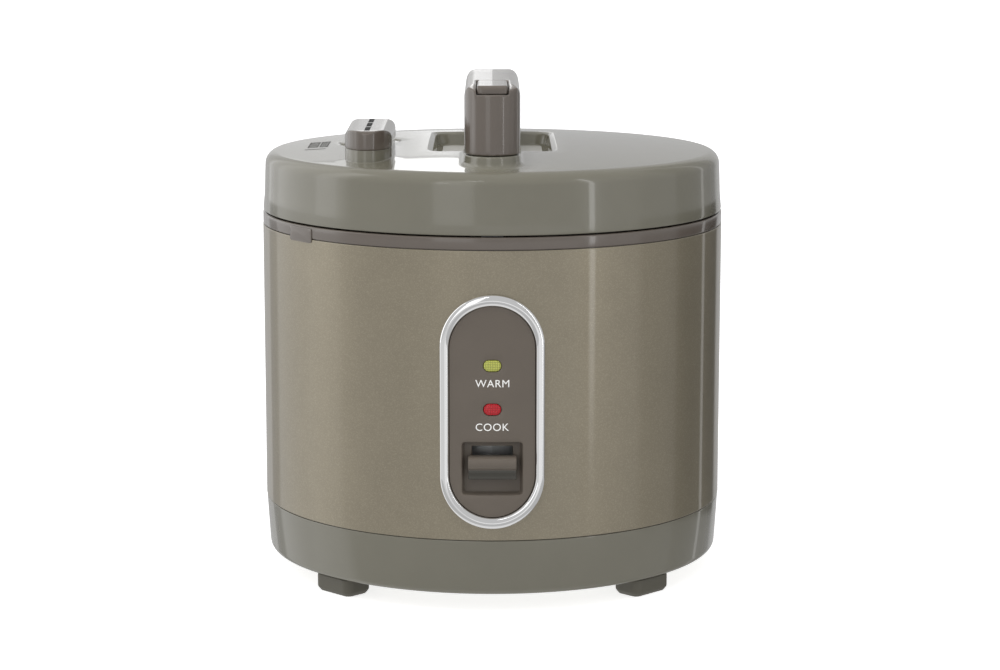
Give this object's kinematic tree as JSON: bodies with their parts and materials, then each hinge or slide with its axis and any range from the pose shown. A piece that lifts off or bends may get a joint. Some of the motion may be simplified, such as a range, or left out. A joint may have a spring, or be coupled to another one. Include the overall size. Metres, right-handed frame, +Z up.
{
  "type": "rice cooker",
  "caption": "Round electric rice cooker with a hinged lid, carrying handle with thumb latch, pressure lever, pot, and front warm and cook switch.",
  "frame": {"origin": "on the axis of the round body, in the plane that the four feet stand on", "axes": "+Z up, -Y towards the front with the control panel, +X to the right as seen from the front"},
  "size_m": [0.271, 0.2818, 0.2928],
  "materials": {
    "olive_gloss": "glossy olive grey plastic",
    "olive_matte": "moulded olive grey plastic, satin",
    "champagne_paint": "metallic champagne paint on steel sheet",
    "brown_gloss": "glossy warm brown plastic",
    "brown_satin": "satin warm brown plastic",
    "chrome_trim": "mirror chrome plating",
    "steel": "plain bright steel",
    "aluminium_plate": "satin aluminium",
    "pot_coating": "dark non-stick coating on an aluminium pot",
    "silicone": "off-white silicone rubber",
    "black_plastic": "black moulded plastic and rubber",
    "brass_pin": "bright brass",
    "board": "circuit board laminate with small neon lamps",
    "lens_amber": "yellow-green translucent lens with a fine waffle pattern",
    "lens_red": "red translucent lens with a fine waffle pattern"
  },
  "bodies": {
    "body": {"base_shell": "olive_gloss", "hinge_housing": "olive_gloss", "foot_front_left": "olive_matte", "foot_front_right": "olive_matte", "foot_rear_left": "olive_matte", "foot_rear_right": "olive_matte", "outer_shell": "champagne_paint", "collar_ring": "brown_gloss", "collar_clip": "brown_gloss", "panel_face": "brown_satin", "bezel_ring": "chrome_trim", "bottom_cover": "steel", "cover_screw_1": "steel", "cover_screw_2": "steel", "cover_screw_3": "steel", "cover_screw_4": "steel", "hinge_pin": "steel", "hinge_spring": "steel", "sensor_cup": "steel", "sensor_spring": "steel", "lever_bracket": "steel", "lever_pin": "steel", "arm_bracket": "steel", "arm_pin": "steel", "inner_can": "aluminium_plate", "heating_plate": "aluminium_plate", "inner_pot": "pot_coating", "power_inlet": "black_plastic", "micro_switch": "black_plastic", "inlet_pin_line": "brass_pin", "inlet_pin_neutral": "brass_pin", "inlet_pin_earth": "brass_pin", "lamp_board": "board", "lens_warm": "lens_amber", "lens_cook": "lens_red"},
    "lid": {"lid_outer": "olive_gloss", "lid_frame": "brown_satin", "inner_lid_plate": "aluminium_plate", "sealing_ring": "silicone", "lid_hinge_bracket": "olive_gloss", "steam_vent_cap": "olive_gloss", "steam_duct": "brown_satin", "steam_nozzle": "steel", "handle_bar": "brown_gloss", "grip_cover": "brown_satin", "button_spring": "steel", "latch_bracket": "steel", "latch_pin": "steel", "valve_bracket": "steel", "valve_pin": "steel"},
    "button": {"thumb_button": "brown_gloss"},
    "latch": {"latch_hook": "steel"},
    "pressure_valve": {"pressure_lever": "brown_gloss", "valve_plug": "black_plastic"},
    "lever": {"cook_lever": "brown_satin"},
    "link": {"switch_link": "steel"},
    "arm": {"switch_arm": "steel"},
    "plunger": {"magnet_plunger": "steel"}
  },
  "joints": [
    {"name": "lid_open", "type": "hinge", "parent": "body", "child": "lid", "pos_m": [0, 0.137, 0.206], "axis": [-1, 0, 0], "range_deg": [0, 82]},
    {"name": "button_press", "type": "slide", "parent": "lid", "child": "button", "axis": [0, 0, -1], "range_m": [0, 0.003], "stiffness_N_per_m": 400, "springref_m": -0.003, "deforming": ["button_spring"]},
    {"name": "latch_swing", "type": "hinge", "parent": "lid", "child": "latch", "pos_m": [0, -0.125, 0.228], "axis": [-1, 0, 0], "range_deg": [0, 10.3]},
    {"name": "valve_tilt", "type": "hinge", "parent": "lid", "child": "pressure_valve", "pos_m": [-0.07, -0.017, 0.25755], "axis": [-1, 0, 0], "range_deg": [0, 75]},
    {"name": "cook_switch", "type": "hinge", "parent": "body", "child": "lever", "pos_m": [0, -0.1185, 0.084], "axis": [1, 0, 0], "range_deg": [0, 15]},
    {"name": "link_slide", "type": "slide", "parent": "body", "child": "link", "axis": [0, 0, -1], "range_m": [0, 0.0017]},
    {"name": "arm_rock", "type": "hinge", "parent": "body", "child": "arm", "pos_m": [0, -0.1, 0.0255], "axis": [1, 0, 0], "range_deg": [0, 4]},
    {"name": "plunger_lift", "type": "slide", "parent": "body", "child": "plunger", "axis": [0, 0, 1], "range_m": [0, 0.0067]}
  ],
  "couplings": [
    {"joint": "latch_swing", "follows": "button_press", "rad_per_m": 58.8},
    {"joint": "link_slide", "follows": "cook_switch", "m_per_rad": 0.006},
    {"joint": "arm_rock", "follows": "cook_switch", "ratio": 0.2449},
    {"joint": "plunger_lift", "follows": "cook_switch", "m_per_rad": 0.0233}
  ]
}
